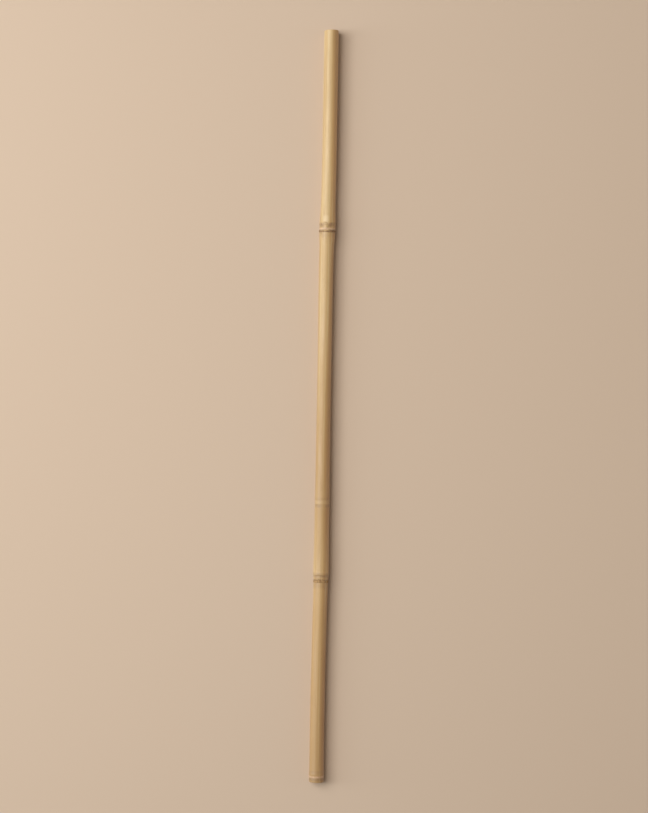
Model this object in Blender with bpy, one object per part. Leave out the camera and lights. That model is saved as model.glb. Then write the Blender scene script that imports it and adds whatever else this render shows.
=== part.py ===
"""A bamboo cane, 750 mm long and about 14.5 mm thick, lying on the ground.

The cane is one culm: a length of grown stem, sawn square at both ends. It lies along Y with its butt at -Y.
Its whole skin is one run of rings along the culm's axis. The run starts on the floor of the pith hollow
in the top end, climbs that hollow, crosses the top cut, comes down the outside over every node, crosses
the butt cut and ends in the shallow hollow under the butt node. All sizes are metres.
"""

import math
from dataclasses import dataclass

import bmesh
import bpy
import numpy as np

LENGTH = 0.750
SIDES = 32

# Radius of the plain stem at places along it: slimmest half way up, a little thicker at both ends.
STEM_RADIUS = (
    (0.000, 0.00722),
    (0.100, 0.00712),
    (0.180, 0.00712),
    (0.260, 0.00728),
    (0.400, 0.00696),
    (0.520, 0.00728),
    (0.640, 0.00732),
    (0.750, 0.00728),
)

# The culm's axis seen from above: small sideways steps at the nodes, none more than a millimetre.
AXIS_SIDEWAYS = (
    (0.000, -0.00025),
    (0.060, -0.00050),
    (0.150, -0.00020),
    (0.205, 0.00040),
    (0.279, 0.00025),
    (0.400, 0.00000),
    (0.530, -0.00010),
    (0.575, 0.00060),
    (0.750, 0.00065),
)

# The cross-section isn't quite round, and its long way turns slowly along the culm (radians a metre).
OVAL = 0.008
OVAL_TURN = 2.6

# The ridges that the culm lies on are worn flat this deep, and its top end curves up this much.
FLAT_DEPTH = 0.00020
TOP_END_LIFT = 0.00045

# The relief of a node: half widths of the scar's lip, of the grooves and of the ridge.
LIP_HALF = 0.0012
GROOVE_HALF = 0.0011
GROOVE_RISE = 0.0010
CREST_HALF = 0.0028
CREST_RISE = 0.0013

# The pith hollow is open from the top cut down to the wall that closes the culm at its upper node.
PITH_FLOOR = 0.5600
PITH_FLOOR_RADIUS = 0.00215
PITH_TOP_RADIUS = 0.00250
PITH_STEP = 0.030
PITH_ROUNDING = 0.0007

# Under the butt node a short stump of hollow is left.
BUTT_PITH_RADIUS = 0.00190
BUTT_PITH_DEPTH = 0.0034

# The sawn ends lose their sharp rim.
TOP_RIM = 0.00025
BUTT_RIM = 0.00060

# Rings of the outside: even steps over a node's relief, and a count for each plain stretch.
FINE_STEP = 0.0010
BAND_BELOW = 0.003
BAND_ABOVE = 0.003
STRETCH_COUNT = 6
STRETCH_STEP = 0.015

BAMBOO_COLOUR = (0.60, 0.43, 0.20, 1.0)
BAMBOO_ROUGHNESS = 0.42


def smooth_step(part):
    part = min(max(part, 0.0), 1.0)
    return part * part * (3.0 - 2.0 * part)


def bump(offset, half_width):
    """A rounded bump, 1 at the middle and 0 at half_width either side."""
    if abs(offset) >= half_width:
        return 0.0
    return 0.5 + 0.5 * math.cos(math.pi * offset / half_width)


@dataclass
class Node:
    """One node of the culm: a sheath scar with a lip and a groove, and a rounded ridge above it."""

    scar: float
    band: float
    swell_above: float
    reach_above: float
    swell_below: float
    reach_below: float
    lip: float
    groove: float
    crest: float

    def ridge(self):
        return self.scar + self.band + CREST_RISE

    def swelling(self, place):
        """The broad thickening, which fades slowly up the stem and ends sooner below the scar."""
        above = place - self.scar - self.band
        below = self.scar - place
        if above > 0.0:
            return self.swell_above * math.exp(-((above / self.reach_above) ** 2))
        if below > 0.0:
            return self.swell_below * math.exp(-((below / self.reach_below) ** 4))
        part = smooth_step((place - self.scar) / self.band)
        return self.swell_below + (self.swell_above - self.swell_below) * part

    def relief(self, place):
        """The sharp rings: lip and groove at the scar, a shallower groove and the ridge above."""
        lip = self.lip * bump(place - self.scar, LIP_HALF)
        groove = self.groove * bump(place - self.scar - GROOVE_RISE, GROOVE_HALF)
        upper_groove = 0.5 * self.groove * bump(place - self.scar - self.band + GROOVE_RISE, GROOVE_HALF)
        crest = self.crest * bump(place - self.ridge(), CREST_HALF)
        return lip - groove - upper_groove + crest


BUTT_NODE = Node(
    scar=0.0032,
    band=0.0036,
    swell_above=0.00012,
    reach_above=0.006,
    swell_below=0.00012,
    reach_below=0.004,
    lip=0.00010,
    groove=0.00010,
    crest=0.00022,
)
LOWER_NODE = Node(
    scar=0.2006,
    band=0.0060,
    swell_above=0.00048,
    reach_above=0.038,
    swell_below=0.00010,
    reach_below=0.012,
    lip=0.00022,
    groove=0.00030,
    crest=0.00024,
)
SANDED_NODE = Node(
    scar=0.2758,
    band=0.0062,
    swell_above=0.00010,
    reach_above=0.012,
    swell_below=0.00010,
    reach_below=0.010,
    lip=0.00004,
    groove=0.00010,
    crest=0.00005,
)
UPPER_NODE = Node(
    scar=0.5497,
    band=0.0062,
    swell_above=0.00078,
    reach_above=0.014,
    swell_below=0.00070,
    reach_below=0.0105,
    lip=0.00024,
    groove=0.00036,
    crest=0.00028,
)
NODES = (BUTT_NODE, LOWER_NODE, SANDED_NODE, UPPER_NODE)

# The mark of a lost bud sits on the upper node, from its scar to its ridge.
BUD_PLACE = 0.5549
BUD_ANGLE = math.radians(103.0)
BUD_HEIGHT = 0.00045
BUD_HALF_WIDTH = math.radians(24.0)
BUD_HALF_LENGTH = 0.0048


def between(points, place):
    """A smooth value at a place along the culm, passing through (place, value) points."""
    places = np.array([point[0] for point in points])
    values = np.array([point[1] for point in points])
    slopes = np.gradient(values, places)
    index = min(max(int(np.searchsorted(places, place)) - 1, 0), len(places) - 2)
    span = places[index + 1] - places[index]
    part = (place - places[index]) / span
    start = (1.0 + 2.0 * part) * (1.0 - part) ** 2 * values[index]
    start += part * (1.0 - part) ** 2 * span * slopes[index]
    end = part**2 * (3.0 - 2.0 * part) * values[index + 1]
    end += part**2 * (part - 1.0) * span * slopes[index + 1]
    return float(start + end)


def stem_radius(place):
    """The culm's radius at a place along it, before the oval and the bud mark."""
    radius = between(STEM_RADIUS, place)
    for node in NODES:
        radius += node.swelling(place) + node.relief(place)
    return radius


def wall_radius(place, angle):
    """The outer radius at a place along the culm and an angle round it."""
    radius = stem_radius(place) * (1.0 + OVAL * math.cos(2.0 * (angle - OVAL_TURN * place)))
    turn = math.remainder(angle - BUD_ANGLE, 2.0 * math.pi)
    return radius + BUD_HEIGHT * bump(place - BUD_PLACE, BUD_HALF_LENGTH) * bump(turn, BUD_HALF_WIDTH)


def rest_places():
    """The culm lies on three ridges, whose flats set the height of its axis; the top end rises freely."""
    places = []
    for node in (BUTT_NODE, LOWER_NODE, UPPER_NODE):
        reach_down = wall_radius(node.ridge(), math.radians(-90.0))
        places.append((node.ridge(), reach_down - FLAT_DEPTH))
    (low_place, low), (high_place, high) = places[-2:]
    slope = (high - low) / (high_place - low_place)
    places.append((LENGTH, high + slope * (LENGTH - high_place) + TOP_END_LIFT))
    return places


REST_PLACES = rest_places()


def axis_height(place):
    """Straight runs from ridge to ridge, as a culm is straight between its nodes."""
    places, heights = zip(*REST_PLACES)
    return float(np.interp(place, places, heights))


def band_places(node):
    """Even steps over a node's relief, set so that one ring falls on the lip of the scar."""
    below = math.floor(min(BAND_BELOW, node.scar - BUTT_RIM) / FINE_STEP)
    above = math.ceil((node.ridge() + BAND_ABOVE - node.scar) / FINE_STEP)
    return [node.scar + FINE_STEP * step for step in range(-below, above + 1)]


def stretch_places(low, high):
    """The places between two bands: close together next to them, far apart half way."""
    count = STRETCH_COUNT + round((high - low) / STRETCH_STEP)
    places = []
    for step in range(1, count):
        part = step / count
        places.append(low + (high - low) * part**2 / (part**2 + (1.0 - part) ** 2))
    return places


def outside_places():
    """Every ring of the outside, from the butt's rim to the top's."""
    places = [BUTT_RIM]
    for node in NODES:
        band = band_places(node)
        if node is not BUTT_NODE:
            places += stretch_places(places[-1], band[0])
        places += band
    return places + stretch_places(places[-1], LENGTH - TOP_RIM) + [LENGTH - TOP_RIM]


def pith_radius(place):
    part = (place - PITH_FLOOR) / (LENGTH - PITH_FLOOR)
    return PITH_FLOOR_RADIUS + (PITH_TOP_RADIUS - PITH_FLOOR_RADIUS) * part


def pith_places():
    """Rings up the open hollow, from above its rounded floor to the top cut."""
    first = PITH_FLOOR + PITH_ROUNDING
    count = math.ceil((LENGTH - first) / PITH_STEP)
    return [first + (LENGTH - first) * step / count for step in range(count + 1)]


def skin():
    """Every ring of the culm in order, as (place, radius); the outside's radius is left as None."""
    rings = [(PITH_FLOOR, PITH_FLOOR_RADIUS - PITH_ROUNDING)]
    rings += [(place, pith_radius(place)) for place in pith_places()]
    rings += [(LENGTH, stem_radius(LENGTH) - TOP_RIM)]
    rings += [(place, None) for place in reversed(outside_places())]
    rings += [(0.0, stem_radius(0.0) - BUTT_RIM)]
    rings += [(0.0, BUTT_PITH_RADIUS)]
    rings += [(BUTT_PITH_DEPTH - PITH_ROUNDING, BUTT_PITH_RADIUS)]
    rings += [(BUTT_PITH_DEPTH, BUTT_PITH_RADIUS - PITH_ROUNDING)]
    return rings


def set_ring(verts, place, radius):
    """Lay a ring's corners round the axis; the outside is worn flat where it meets the ground."""
    middle_x = between(AXIS_SIDEWAYS, place)
    middle_z = axis_height(place)
    for index, vert in enumerate(verts):
        angle = 2.0 * math.pi * index / SIDES
        reach = wall_radius(place, angle) if radius is None else radius
        x = middle_x + reach * math.cos(angle)
        z = middle_z + reach * math.sin(angle)
        vert.co = (x, place, max(z, 0.0))


def next_ring(bm, verts):
    """Extrude a ring's edges once, and give the new ring's corners in the same order."""
    edges = [bm.edges.get((verts[index], verts[index - 1])) for index in range(SIDES)]
    grown = bmesh.ops.extrude_edge_only(bm, edges=edges)["geom"]
    new_verts = {part for part in grown if isinstance(part, bmesh.types.BMVert)}
    partners = []
    for vert in verts:
        others = [edge.other_vert(vert) for edge in vert.link_edges]
        partners.append(next(other for other in others if other in new_verts))
    return partners


def centre_on_box(bm):
    """Put the origin under the middle of the cane."""
    corners = np.array([vert.co[:] for vert in bm.verts])
    middle = (corners.min(axis=0) + corners.max(axis=0)) / 2.0
    bmesh.ops.translate(bm, verts=bm.verts, vec=(-middle[0], -middle[1], 0.0))


def bamboo_material():
    material = bpy.data.materials.new("bamboo")
    material.use_nodes = True
    shader = material.node_tree.nodes["Principled BSDF"]
    shader.inputs["Base Color"].default_value = BAMBOO_COLOUR
    shader.inputs["Roughness"].default_value = BAMBOO_ROUGHNESS
    shader.inputs["Metallic"].default_value = 0.0
    return material


def make_cane():
    bm = bmesh.new()
    rings = skin()
    verts = bmesh.ops.create_circle(bm, cap_ends=True, radius=PITH_FLOOR_RADIUS, segments=SIDES)["verts"]
    set_ring(verts, *rings[0])
    for place, radius in rings[1:]:
        verts = next_ring(bm, verts)
        set_ring(verts, place, radius)
    bmesh.ops.contextual_create(bm, geom=verts)
    bmesh.ops.recalc_face_normals(bm, faces=bm.faces)
    centre_on_box(bm)

    mesh = bpy.data.meshes.new("cane")
    bm.to_mesh(mesh)
    bm.free()
    mesh.materials.append(bamboo_material())
    mesh.shade_smooth()
    mesh.set_sharp_from_angle(angle=math.radians(35.0))
    cane = bpy.data.objects.new("cane", mesh)
    bpy.context.collection.objects.link(cane)
    return cane


def main():
    for old in list(bpy.data.objects):
        bpy.data.objects.remove(old)
    make_cane()


main()
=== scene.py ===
# %% [markdown]
# A bamboo cane on a pale floor
#
# A bamboo cane is one length of a culm, the woody stem of a giant grass. This lesson dresses a packed
# model of such a cane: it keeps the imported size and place, and gives the cane a fine skin, its ringed
# nodes, sawn ends and a material for each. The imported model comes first, because everything is measured
# from it.

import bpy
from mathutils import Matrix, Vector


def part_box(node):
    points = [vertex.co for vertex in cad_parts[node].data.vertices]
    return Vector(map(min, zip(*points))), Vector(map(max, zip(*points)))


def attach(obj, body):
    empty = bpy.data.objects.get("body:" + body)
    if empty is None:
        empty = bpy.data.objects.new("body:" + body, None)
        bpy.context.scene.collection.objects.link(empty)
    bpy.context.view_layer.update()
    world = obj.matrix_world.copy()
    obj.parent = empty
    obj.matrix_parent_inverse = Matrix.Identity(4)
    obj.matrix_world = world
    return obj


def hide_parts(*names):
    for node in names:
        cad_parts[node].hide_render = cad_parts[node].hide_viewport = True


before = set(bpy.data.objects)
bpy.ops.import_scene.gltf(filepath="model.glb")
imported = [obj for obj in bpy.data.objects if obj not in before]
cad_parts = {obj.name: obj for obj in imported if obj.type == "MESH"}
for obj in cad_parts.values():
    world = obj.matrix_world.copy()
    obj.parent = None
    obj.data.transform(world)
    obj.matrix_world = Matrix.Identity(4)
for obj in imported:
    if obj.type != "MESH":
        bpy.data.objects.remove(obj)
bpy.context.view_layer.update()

# %% [markdown]
# The tools
#
# Everything below is Blender's own Python: bmesh for modelling, numpy for rules that move many points at
# once, and dataclasses for the few numbers that describe each node.

# %% Import the tools
import math
from dataclasses import dataclass

import bmesh
import bpy
import numpy as np
from mathutils import noise

low_corner, high_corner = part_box("cane")
LENGTH = high_corner.y - low_corner.y
BUTT_Y = low_corner.y
print("length of the cane:", round(LENGTH, 4), "m, butt at y", round(BUTT_Y, 4))

# %% [markdown]
# Camera
#
# The cane lies down, so the camera looks straight down on it, with the top cut up in the picture. A long
# lens from nearly two metres keeps both ends square to the view. The cane leans a degree to the right as
# it does in the photograph, and that lean is made with a small roll of the camera, so the cane itself
# stays along the frame's Y axis.

# %% Camera over the cane
LENS = 85.0
SENSOR = 36.0
PICTURE_HEIGHT = 0.815
LEAN = math.radians(1.1)

camera_data = bpy.data.cameras.new("overhead")
camera_data.lens = LENS
camera_data.sensor_width = SENSOR
camera = bpy.data.objects.new("overhead", camera_data)
camera_height = PICTURE_HEIGHT / 2.0 / (SENSOR / 2.0 / LENS)
camera.location = (0.0, 0.0, camera_height)
camera.rotation_euler = (0.0, 0.0, LEAN)
bpy.context.scene.collection.objects.link(camera)
bpy.context.scene.camera = camera
print("camera height:", round(camera_height, 3), "m")

# %% [markdown]
# Materials from small steps
#
# A procedural material is a chain of small nodes. These helpers each add one node and join it up, so
# that the recipes below read like recipes. Each returns the output socket that carries its result. The
# first three start a material, write a colour and fill a socket.

# %% Start a material
def new_material(name):
    material = bpy.data.materials.new(name)
    material.use_nodes = True
    tree = material.node_tree
    return material, tree, tree.nodes["Principled BSDF"]


def colour(red, green, blue):
    return (red, green, blue, 1.0)


def feed(tree, socket, value):
    """Join a socket to another one, or set it to a plain number or colour."""
    if isinstance(value, bpy.types.NodeSocket):
        tree.links.new(value, socket)
    else:
        socket.default_value = value


print("helpers: new_material, colour, feed")

# %% [markdown]
# Numbers inside a material
#
# Most of a material is arithmetic on one number at each point: how far it is up the cane, how dark a
# noise is there, how near it lies to a ring. A soft run from one value to another is the most useful
# step, and a stripe is two such runs back to back. Further down, a run is given as four numbers: where
# it starts and ends in what comes in, and what comes out at its start and its end.

# %% Numbers in a material
def sums(tree, operation, first, second=0.0):
    node = tree.nodes.new("ShaderNodeMath")
    node.operation = operation
    feed(tree, node.inputs[0], first)
    feed(tree, node.inputs[1], second)
    return node.outputs[0]


def span(tree, value, start, end, low=0.0, high=1.0):
    """Turn a value's run from start to end into a soft run from low to high."""
    node = tree.nodes.new("ShaderNodeMapRange")
    node.interpolation_type = "SMOOTHSTEP"
    feed(tree, node.inputs["Value"], value)
    node.inputs["From Min"].default_value = start
    node.inputs["From Max"].default_value = end
    node.inputs["To Min"].default_value = low
    node.inputs["To Max"].default_value = high
    return node.outputs["Result"]


def stripe(tree, value, middle, half_width, soft):
    """1 where a value is near its middle, fading to 0 over the soft edge."""
    away = sums(tree, "ABSOLUTE", sums(tree, "SUBTRACT", value, middle))
    return span(tree, away, half_width + soft, half_width)


def measured(tree, name):
    """A number that the mesh carries at each corner."""
    node = tree.nodes.new("ShaderNodeAttribute")
    node.attribute_name = name
    return node.outputs["Fac"]


print("helpers: sums, span, stripe, measured")

# %% [markdown]
# Patterns with a grain
#
# Bamboo's pattern runs along the stem. A plain noise becomes such a pattern when its coordinates are
# scaled up a lot across the cane and only a little along it. So most patterns below are given as two
# scales, across and along, and a scale of 1000 makes a noise about a millimetre wide. The same noise can
# lift the surface too: a bump node bends the light as fine fibres would, where modelling them would cost
# millions of faces.

# %% Patterns and relief
def stretched(tree, across, along):
    """Object coordinates scaled differently across the cane and along it, for patterns with a grain."""
    where = tree.nodes.new("ShaderNodeTexCoord")
    scale = tree.nodes.new("ShaderNodeMapping")
    scale.inputs["Scale"].default_value = (across, along, across)
    tree.links.new(where.outputs["Object"], scale.inputs["Vector"])
    return scale.outputs["Vector"]


def cloud(tree, vector, detail=2.0, roughness=0.5):
    node = tree.nodes.new("ShaderNodeTexNoise")
    tree.links.new(vector, node.inputs["Vector"])
    node.inputs["Scale"].default_value = 1.0
    node.inputs["Detail"].default_value = detail
    node.inputs["Roughness"].default_value = roughness
    return node.outputs["Fac"]


def blend(tree, share, first, second, kind="MIX"):
    node = tree.nodes.new("ShaderNodeMix")
    node.data_type = "RGBA"
    node.blend_type = kind
    feed(tree, node.inputs["Factor"], share)
    feed(tree, node.inputs["A"], first)
    feed(tree, node.inputs["B"], second)
    return node.outputs["Result"]


def relief(tree, shader, height, distance, strength):
    node = tree.nodes.new("ShaderNodeBump")
    node.inputs["Strength"].default_value = strength
    node.inputs["Distance"].default_value = distance
    tree.links.new(height, node.inputs["Height"])
    tree.links.new(node.outputs["Normal"], shader.inputs["Normal"])


print("helpers: stretched, cloud, blend, relief")

# %% [markdown]
# The floor
#
# The cane lies on a plain sheet of warm, matt paper, so large that its edges stay out of the picture. It
# isn't one flat colour: a very wide and faint noise makes it a little paler in places, and a fine one
# gives it a grain.

# %% Floor
FLOOR_SIZE = 24.0
FLOOR_COLOUR = colour(0.620, 0.492, 0.380)
PALE_PATCH = colour(0.660, 0.535, 0.425)
PATCH_SCALE = 1.3
PATCH_STRENGTH = 0.3
GRAIN_SCALE = 900.0
GRAIN_HEIGHT = 0.00004
GRAIN_STRENGTH = 0.5
FLOOR_ROUGHNESS = 0.9
FLOOR_GLOSS = 0.2


def paper_material():
    material, tree, shader = new_material("backdrop_paper")
    grain = cloud(tree, stretched(tree, GRAIN_SCALE, GRAIN_SCALE), detail=3.0)
    soft_cloud = cloud(tree, stretched(tree, PATCH_SCALE, PATCH_SCALE), detail=1.0)
    tone = blend(tree, sums(tree, "MULTIPLY", soft_cloud, PATCH_STRENGTH), FLOOR_COLOUR, PALE_PATCH)
    tree.links.new(tone, shader.inputs["Base Color"])
    shader.inputs["Roughness"].default_value = FLOOR_ROUGHNESS
    shader.inputs["Specular IOR Level"].default_value = FLOOR_GLOSS
    relief(tree, shader, grain, GRAIN_HEIGHT, GRAIN_STRENGTH)
    return material


def make_floor():
    bm = bmesh.new()
    bmesh.ops.create_grid(bm, x_segments=1, y_segments=1, size=FLOOR_SIZE / 2.0)
    mesh = bpy.data.meshes.new("floor")
    bm.to_mesh(mesh)
    bm.free()
    mesh.materials.append(paper_material())
    floor = bpy.data.objects.new("floor", mesh)
    bpy.context.scene.collection.objects.link(floor)


make_floor()
print("floor:", FLOOR_SIZE, "m square")

# %% [markdown]
# The light
#
# A broad soft light from the upper left lets the cane's right flank fall into shade, as it does in the
# photograph. A second panel stands low on the left: it is what the left flank mirrors, and gives it its
# pale, cool sheen. A faint one low on the right keeps the shade open, as a tan board would, and a warm
# even surround fills the rest.

# %% Light
KEY_PLACE = (-1.10, 0.45, 1.85)
KEY_SIZE = (1.5, 1.9)
KEY_POWER = 41.0
PANEL_PLACE = (-3.20, 0.0, 1.05)
PANEL_SIZE = (0.9, 4.2)
PANEL_POWER = 70.0
PANEL_COLOUR = (0.91, 0.98, 1.0)
BOUNCE_PLACE = (2.60, 0.0, 0.80)
BOUNCE_SIZE = (0.8, 3.6)
BOUNCE_POWER = 13.0
BOUNCE_COLOUR = (1.0, 0.88, 0.72)
LAMP_COLOUR = (1.0, 0.965, 0.93)
SURROUND_COLOUR = colour(1.0, 0.88, 0.76)
SURROUND_STRENGTH = 0.18


def soft_light(name, place, size, power, light_colour=LAMP_COLOUR):
    """A rectangular lamp that shines at the middle of the cane."""
    data = bpy.data.lights.new(name, "AREA")
    data.shape = "RECTANGLE"
    data.size, data.size_y = size
    data.energy = power
    data.color = light_colour
    lamp = bpy.data.objects.new(name, data)
    lamp.location = place
    lamp.rotation_euler = lamp.location.to_track_quat("Z", "Y").to_euler()
    bpy.context.scene.collection.objects.link(lamp)


def make_surround():
    world = bpy.data.worlds.new("studio")
    world.use_nodes = True
    background = world.node_tree.nodes["Background"]
    background.inputs["Color"].default_value = SURROUND_COLOUR
    background.inputs["Strength"].default_value = SURROUND_STRENGTH
    bpy.context.scene.world = world


soft_light("broad_softbox", KEY_PLACE, KEY_SIZE, KEY_POWER)
soft_light("low_panel", PANEL_PLACE, PANEL_SIZE, PANEL_POWER, PANEL_COLOUR)
soft_light("bounce_board", BOUNCE_PLACE, BOUNCE_SIZE, BOUNCE_POWER, BOUNCE_COLOUR)
make_surround()
bpy.context.scene.view_settings.view_transform = "Standard"
print("lights of", KEY_POWER, "and", PANEL_POWER, "W from the left,", BOUNCE_POWER, "W from the right")

# %% [markdown]
# The culm's measurements
#
# A culm is almost a plain tube. What makes it bamboo is small: it is slimmest half way up, it steps a
# little sideways at each node, and it isn't quite round. These are the same driving numbers that shaped
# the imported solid, so the fine skin lands on it. Places are measured along the culm from the butt cut.

# %% The plain stem
STEM_RADIUS = (
    (0.000, 0.00722),
    (0.100, 0.00712),
    (0.180, 0.00712),
    (0.260, 0.00728),
    (0.400, 0.00696),
    (0.520, 0.00728),
    (0.640, 0.00732),
    (0.750, 0.00728),
)
AXIS_SIDEWAYS = (
    (0.000, -0.00025),
    (0.060, -0.00050),
    (0.150, -0.00020),
    (0.205, 0.00040),
    (0.279, 0.00025),
    (0.400, 0.00000),
    (0.530, -0.00010),
    (0.575, 0.00060),
    (0.750, 0.00065),
)
OVAL = 0.008
OVAL_TURN = 2.6
FLAT_DEPTH = 0.00020
TOP_END_LIFT = 0.00045


def between(points, place):
    """Smooth values at places along the culm, passing through (place, value) points."""
    places = np.array([point[0] for point in points])
    values = np.array([point[1] for point in points])
    slopes = np.gradient(values, places)
    index = np.clip(np.searchsorted(places, place) - 1, 0, len(places) - 2)
    run = places[index + 1] - places[index]
    part = (place - places[index]) / run
    start = (1.0 + 2.0 * part) * (1.0 - part) ** 2 * values[index]
    start += part * (1.0 - part) ** 2 * run * slopes[index]
    end = part**2 * (3.0 - 2.0 * part) * values[index + 1]
    end += part**2 * (part - 1.0) * run * slopes[index + 1]
    return start + end


print("stem radius half way up:", round(float(between(STEM_RADIUS, np.array(0.4))) * 1000, 2), "mm")

# %% [markdown]
# What a node is
#
# At each node a sheath, a papery leaf, once wrapped the young stem. Where it broke off it left the scar:
# a thin lip with a groove just above it. A few millimetres higher is a rounded ridge, and the band
# between them is where roots and a bud could grow. On the real thing none of this runs straight round:
# the scar dips under the bud, and lip and ridge are high on one side and low on the other. So each
# ring is a rule of the place along the culm and the angle round it. Two curves make all of them: a soft
# step and a rounded bump.

# %% Soft steps and bumps
CREST_HALF = 0.0028
CREST_RISE = 0.0013
LIP_RISE = 0.0016
LIP_DROP = 0.00035
GROOVE_PLACE = 0.0008
GROOVE_HALF = 0.0009
UPPER_GROOVE_HALF = 0.0014
WRINKLE = 0.000028


def smooth_step(part):
    part = np.clip(part, 0.0, 1.0)
    return part * part * (3.0 - 2.0 * part)


def bump(offset, half_width):
    """A rounded bump, 1 at the middle and 0 at half_width either side."""
    share = np.clip(np.abs(offset) / half_width, 0.0, 1.0)
    return 0.5 + 0.5 * np.cos(np.pi * share)


print("a ridge is", round(CREST_HALF * 2000, 1), "mm wide, a groove", round(GROOVE_HALF * 2000, 1))

# %% [markdown]
# One node as a small class
#
# All four nodes follow the same rules with other numbers, so a dataclass holds the numbers and the rules
# are its methods. Lengths are metres, and the last five say how strongly each kind of mark shows.

# %% The rings of a node
@dataclass
class Node:
    scar: float  # place of the sheath scar along the culm
    band: float  # from the scar up to the foot of the ridge
    swell_above: float  # how much thicker the stem gets above the band, and how far up
    reach_above: float
    swell_below: float  # the same below the scar
    reach_below: float
    lip: float  # height of the scar's lip
    groove: float  # depth of the grooves beside the band
    crest: float  # height of the ridge
    bud_angle: float  # the side where the bud sat
    wander: float  # how far the scar strays from a straight ring
    # The lines are partly dirt and partly painted shade in the grooves; stain also sets the painted shade
    # below the scar.
    line: float  # dark lines in the scar and along the ridge
    stain: float  # brown blotches
    blush: float  # pink ring
    crown: float  # browned band round the scar
    pale: float  # pale ring

    def ridge(self):
        return self.scar + self.band + CREST_RISE

    def scar_shift(self, angle):
        """How far the scar runs above its middle place: low under the bud, uneven elsewhere."""
        turn = angle - self.bud_angle
        uneven = 0.30 * np.sin(3.0 * turn + 1.0) + 0.18 * np.sin(7.0 * turn + 0.4)
        return self.wander * (-np.cos(turn) + uneven)

    def swelling(self, place):
        above = np.maximum(place - self.scar - self.band, 0.0) / self.reach_above
        below = np.maximum(self.scar - place, 0.0) / self.reach_below
        part = smooth_step((place - self.scar) / self.band)
        thick = self.swell_below + (self.swell_above - self.swell_below) * part
        return thick * np.exp(-(above**2)) * np.exp(-(below**4))

    def beside_bud(self, angle):
        """The angle away from the bud's side, from 0 to half a turn either way."""
        return np.abs(np.remainder(angle - self.bud_angle + np.pi, 2.0 * np.pi) - np.pi)

    def wrinkles(self, place, angle):
        """Fine upright creases between the scar and the ridge, where the band dried and shrank."""
        off = place - self.scar - self.scar_shift(angle) - 0.5 * self.band
        creases = np.sin(27.0 * angle + 2.0 * np.sin(3.0 * angle)) + 0.6 * np.sin(41.0 * angle + 1.0)
        return WRINKLE * self.stain * creases * bump(off, 0.6 * self.band)

    def rings(self, place, angle):
        turn = angle - self.bud_angle
        off = place - self.scar - self.scar_shift(angle)
        uneven_lip = 0.75 + 0.35 * np.sin(5.0 * turn + 2.0) * np.sin(2.0 * turn)
        lip = smooth_step((off + LIP_RISE) / LIP_RISE) * (1.0 - smooth_step(off / LIP_DROP))
        groove = bump(off - GROOVE_PLACE, GROOVE_HALF)
        upper_groove = 0.45 * bump(off - self.band + GROOVE_PLACE, UPPER_GROOVE_HALF)
        uneven_crest = 1.0 + 0.22 * np.cos(turn) + 0.08 * np.sin(4.0 * turn)
        crest = bump(place - self.ridge() - 0.4 * self.scar_shift(angle), CREST_HALF)
        grooves = self.groove * (groove + upper_groove)
        return self.lip * uneven_lip * lip - grooves + self.crest * uneven_crest * crest


# %% [markdown]
# The four nodes of this cane
#
# The butt was cut just below a node. The next one is ringed in brown, the third was sanded flat, and the
# upper one is the fullest, with the mark of a bud on the side that faces the camera. Bamboo buds
# alternate from side to side, so those of the other nodes are on the hidden side.

# %% The four nodes
FACING = math.radians(103.0)
HIDDEN = FACING + math.pi

BUTT_NODE = Node(
    scar=0.0032,
    band=0.0036,
    swell_above=0.00012,
    reach_above=0.006,
    swell_below=0.00012,
    reach_below=0.004,
    lip=0.00010,
    groove=0.00010,
    crest=0.00022,
    bud_angle=HIDDEN,
    wander=0.00015,
    line=0.40,
    stain=0.35,
    blush=0.90,
    crown=0.0,
    pale=0.0,
)
LOWER_NODE = Node(
    scar=0.2006,
    band=0.0060,
    swell_above=0.00048,
    reach_above=0.038,
    swell_below=0.00010,
    reach_below=0.012,
    lip=0.00022,
    groove=0.00030,
    crest=0.00024,
    bud_angle=HIDDEN + 0.3,
    wander=0.00030,
    line=0.46,
    stain=0.42,
    blush=0.0,
    crown=1.0,
    pale=0.0,
)
SANDED_NODE = Node(
    scar=0.2758,
    band=0.0062,
    swell_above=0.00010,
    reach_above=0.012,
    swell_below=0.00010,
    reach_below=0.010,
    lip=0.00004,
    groove=0.00010,
    crest=0.00005,
    bud_angle=FACING - 0.4,
    wander=0.00020,
    line=0.30,
    stain=0.12,
    blush=0.0,
    crown=0.0,
    pale=0.14,
)
UPPER_NODE = Node(
    scar=0.5497,
    band=0.0062,
    swell_above=0.00078,
    reach_above=0.014,
    swell_below=0.00070,
    reach_below=0.0105,
    lip=0.00024,
    groove=0.00036,
    crest=0.00028,
    bud_angle=FACING,
    wander=0.00035,
    line=0.62,
    stain=1.0,
    blush=0.95,
    crown=0.0,
    pale=0.0,
)
NODES = (BUTT_NODE, LOWER_NODE, SANDED_NODE, UPPER_NODE)
print("nodes at", [round(node.scar * 1000) for node in NODES], "mm from the butt cut")

# %% [markdown]
# The bud's mark
#
# On the upper node a bud sat in the band between scar and ridge. It never grew, and left a low teardrop
# with a soft edge. Its shape is one more rule: how far a point is from the bud's middle.

# %% The bud
BUD_PLACE = 0.5549
BUD_HEIGHT = 0.00045
BUD_HALF_WIDTH = math.radians(24.0)
BUD_HALF_LENGTH = 0.0048
BUD_NARROWING = 0.45
BUD_CREASE = 0.00010
CREASE_LEVEL = 0.16
CREASE_HALF = 0.14


def bud_share(place, angle):
    """1 on top of the bud's mark and 0 past its edge; it narrows towards the ridge."""
    turn = np.remainder(angle - FACING + np.pi, 2.0 * np.pi) - np.pi
    narrow = 1.0 - BUD_NARROWING * smooth_step((place - BUD_PLACE) / BUD_HALF_LENGTH)
    return bump(place - BUD_PLACE, BUD_HALF_LENGTH) * bump(turn, BUD_HALF_WIDTH * narrow)


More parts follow.
